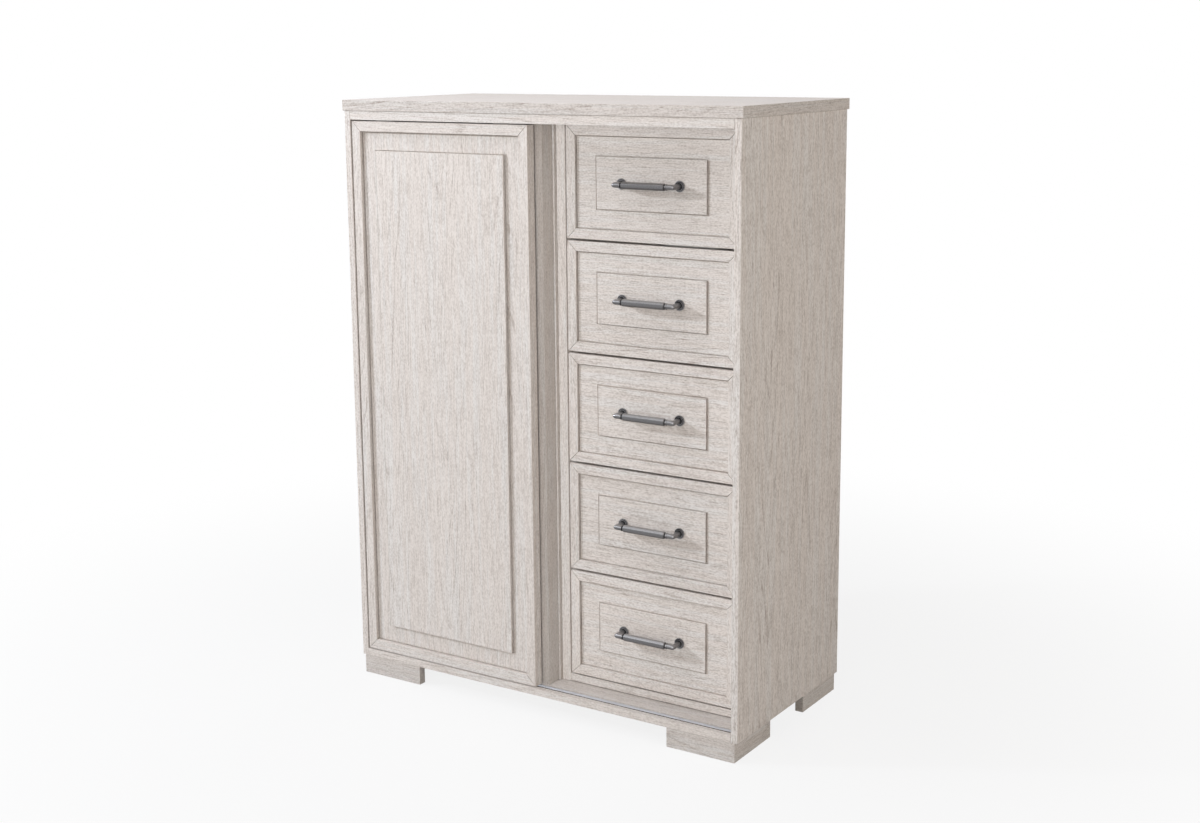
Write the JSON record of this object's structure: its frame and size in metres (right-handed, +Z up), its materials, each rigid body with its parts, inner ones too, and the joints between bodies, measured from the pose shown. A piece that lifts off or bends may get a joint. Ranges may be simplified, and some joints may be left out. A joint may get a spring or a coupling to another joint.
{
  "type": "sliding door chest",
  "caption": "Upright bedroom chest in pale washed oak with a framed door that slides on rollers across a bay of drawers and a shelved bay, on bracket feet.",
  "frame": {"origin": "on the floor under the middle of the top panel", "axes": "+X to the right seen from the front, +Y towards the back, +Z up; the front faces -Y"},
  "size_m": [0.98, 0.468, 1.3],
  "materials": {
    "oak_laminate": "satin",
    "inner_laminate": "satin",
    "hardboard": "matte",
    "box_lining": "satin",
    "runner_timber": "matte",
    "track_metal": "satin",
    "pewter": "satin",
    "nylon": "satin"
  },
  "bodies": {
    "case": {"top_panel": "oak_laminate", "side_panel_left": "oak_laminate", "side_panel_right": "oak_laminate", "sub_top": "oak_laminate", "bottom_panel": "oak_laminate", "partition": "oak_laminate", "back_panel": "hardboard", "shelf_lower": "inner_laminate", "shelf_upper": "inner_laminate", "door_track": "track_metal", "drawer_bay_filler": "oak_laminate", "drawer_stile_left": "oak_laminate", "drawer_stile_right": "oak_laminate", "drawer_rail": "oak_laminate", "foot_front_left": "oak_laminate", "foot_front_right": "oak_laminate", "foot_rear_left": "oak_laminate", "foot_rear_right": "oak_laminate", "drawer_1_runner_left": "runner_timber", "drawer_1_runner_right": "runner_timber", "drawer_2_runner_left": "runner_timber", "drawer_2_runner_right": "runner_timber", "drawer_3_runner_left": "runner_timber", "drawer_3_runner_right": "runner_timber", "drawer_4_runner_left": "runner_timber", "drawer_4_runner_right": "runner_timber", "drawer_5_runner_left": "runner_timber", "drawer_5_runner_right": "runner_timber"},
    "door": {"door_core": "oak_laminate", "door_frame_left": "oak_laminate", "door_frame_right": "oak_laminate", "door_frame_top": "oak_laminate", "door_frame_bottom": "oak_laminate", "door_raised_panel": "oak_laminate", "roller_housing_left": "nylon", "roller_housing_right": "nylon", "upper_guide_left": "nylon", "upper_guide_right": "nylon"},
    "door_roller_left": {"roller_left": "nylon"},
    "door_roller_right": {"roller_right": "nylon"},
    "drawer_1": {"drawer_1_front": "oak_laminate", "drawer_1_box": "box_lining", "drawer_1_bottom": "hardboard", "drawer_1_pull": "pewter"},
    "drawer_2": {"drawer_2_front": "oak_laminate", "drawer_2_box": "box_lining", "drawer_2_bottom": "hardboard", "drawer_2_pull": "pewter"},
    "drawer_3": {"drawer_3_front": "oak_laminate", "drawer_3_box": "box_lining", "drawer_3_bottom": "hardboard", "drawer_3_pull": "pewter"},
    "drawer_4": {"drawer_4_front": "oak_laminate", "drawer_4_box": "box_lining", "drawer_4_bottom": "hardboard", "drawer_4_pull": "pewter"},
    "drawer_5": {"drawer_5_front": "oak_laminate", "drawer_5_box": "box_lining", "drawer_5_bottom": "hardboard", "drawer_5_pull": "pewter"}
  },
  "joints": [
    {"name": "door_slide", "type": "slide", "parent": "case", "child": "door", "axis": [-1, 0, 0], "range_m": [-0.4743, 0]},
    {"name": "roller_left_turn", "type": "hinge", "parent": "door", "child": "door_roller_left", "pos_m": [-0.394, -0.2114, 0.0647], "axis": [0, 1, 0], "continuous": true},
    {"name": "roller_right_turn", "type": "hinge", "parent": "door", "child": "door_roller_right", "pos_m": [-0.0803, -0.2114, 0.0647], "axis": [0, 1, 0], "continuous": true},
    {"name": "drawer_1_slide", "type": "slide", "parent": "case", "child": "drawer_1", "axis": [0, -1, 0], "range_m": [0, 0.26]},
    {"name": "drawer_2_slide", "type": "slide", "parent": "case", "child": "drawer_2", "axis": [0, -1, 0], "range_m": [0, 0.26]},
    {"name": "drawer_3_slide", "type": "slide", "parent": "case", "child": "drawer_3", "axis": [0, -1, 0], "range_m": [0, 0.26]},
    {"name": "drawer_4_slide", "type": "slide", "parent": "case", "child": "drawer_4", "axis": [0, -1, 0], "range_m": [0, 0.26]},
    {"name": "drawer_5_slide", "type": "slide", "parent": "case", "child": "drawer_5", "axis": [0, -1, 0], "range_m": [0, 0.26]}
  ],
  "couplings": [
    {"joint": "roller_left_turn", "follows": "door_slide", "rad_per_m": -111.11},
    {"joint": "roller_right_turn", "follows": "door_slide", "rad_per_m": -111.11}
  ]
}
